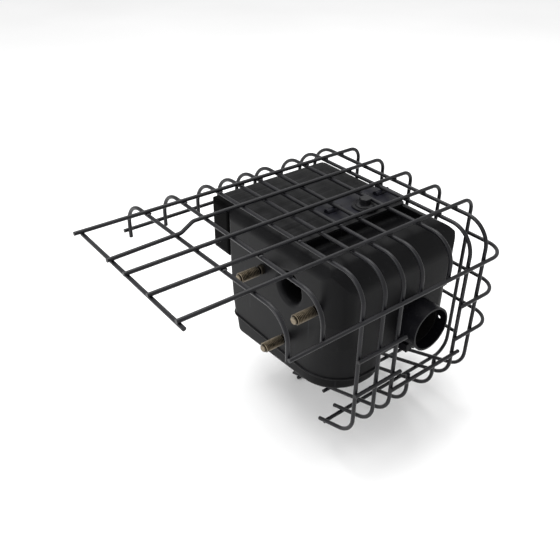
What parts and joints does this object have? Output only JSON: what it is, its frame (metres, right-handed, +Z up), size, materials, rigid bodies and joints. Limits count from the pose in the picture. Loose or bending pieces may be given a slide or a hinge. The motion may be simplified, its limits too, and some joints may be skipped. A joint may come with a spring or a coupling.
{
  "type": "exhaust silencer with wire guard",
  "caption": "Pressed-steel engine exhaust silencer with studded inlet face and side outlet pipe, inside a welded wire heat guard wrapped over its top, front, end and underside",
  "frame": {"origin": "centre of the inlet stud pattern on the outer face of the silencer shell, which is also the inlet axis", "axes": "+X runs along the long guard wires away from the inlet face, +Y towards the rear chamber, +Z up towards the guard top"},
  "size_m": [0.2668, 0.2001, 0.1754],
  "materials": {
    "guard_wire": "satin black paint on drawn steel wire",
    "shell_paint": "heat-resistant satin black paint on pressed sheet",
    "zinc_stud": "dull zinc-plated steel thread",
    "bolt_black": "painted over with the shell",
    "bare_steel": "bare mild steel, hidden inside"
  },
  "bodies": {
    "root": {"baffle_1": "bare_steel", "baffle_2": "bare_steel", "bolt_washer": "bolt_black", "clamp_bolt": "bolt_black", "clamp_strap": "shell_paint", "hoop_0_end_wire": "guard_wire", "hoop_1": "guard_wire", "hoop_2": "guard_wire", "hoop_3": "guard_wire", "hoop_4": "guard_wire", "hoop_5": "guard_wire", "hoop_6": "guard_wire", "hoop_6_lower": "guard_wire", "hoop_7": "guard_wire", "hoop_7_lower": "guard_wire", "hoop_8": "guard_wire", "hoop_9": "guard_wire", "inlet_neck": "shell_paint", "long_wire_1": "guard_wire", "long_wire_2": "guard_wire", "long_wire_3": "guard_wire", "long_wire_4": "guard_wire", "long_wire_5": "guard_wire", "lower_pan": "shell_paint", "outlet_liner": "shell_paint", "outlet_pipe": "shell_paint", "outlet_support": "shell_paint", "perforated_tube": "bare_steel", "rail_1_wrapped": "guard_wire", "rail_2_front": "guard_wire", "rail_2_wrapped": "guard_wire", "rail_3_front": "guard_wire", "rail_3_wrapped": "guard_wire", "rail_4_end": "guard_wire", "rail_4_front": "guard_wire", "rear_chamber": "shell_paint", "rear_rail": "guard_wire", "silencer_shell": "shell_paint", "stud_front": "zinc_stud", "stud_lower": "zinc_stud", "stud_plate": "bare_steel", "stud_rear": "zinc_stud", "top_cover": "shell_paint", "weld_nut": "bare_steel"}
  },
  "joints": []
}
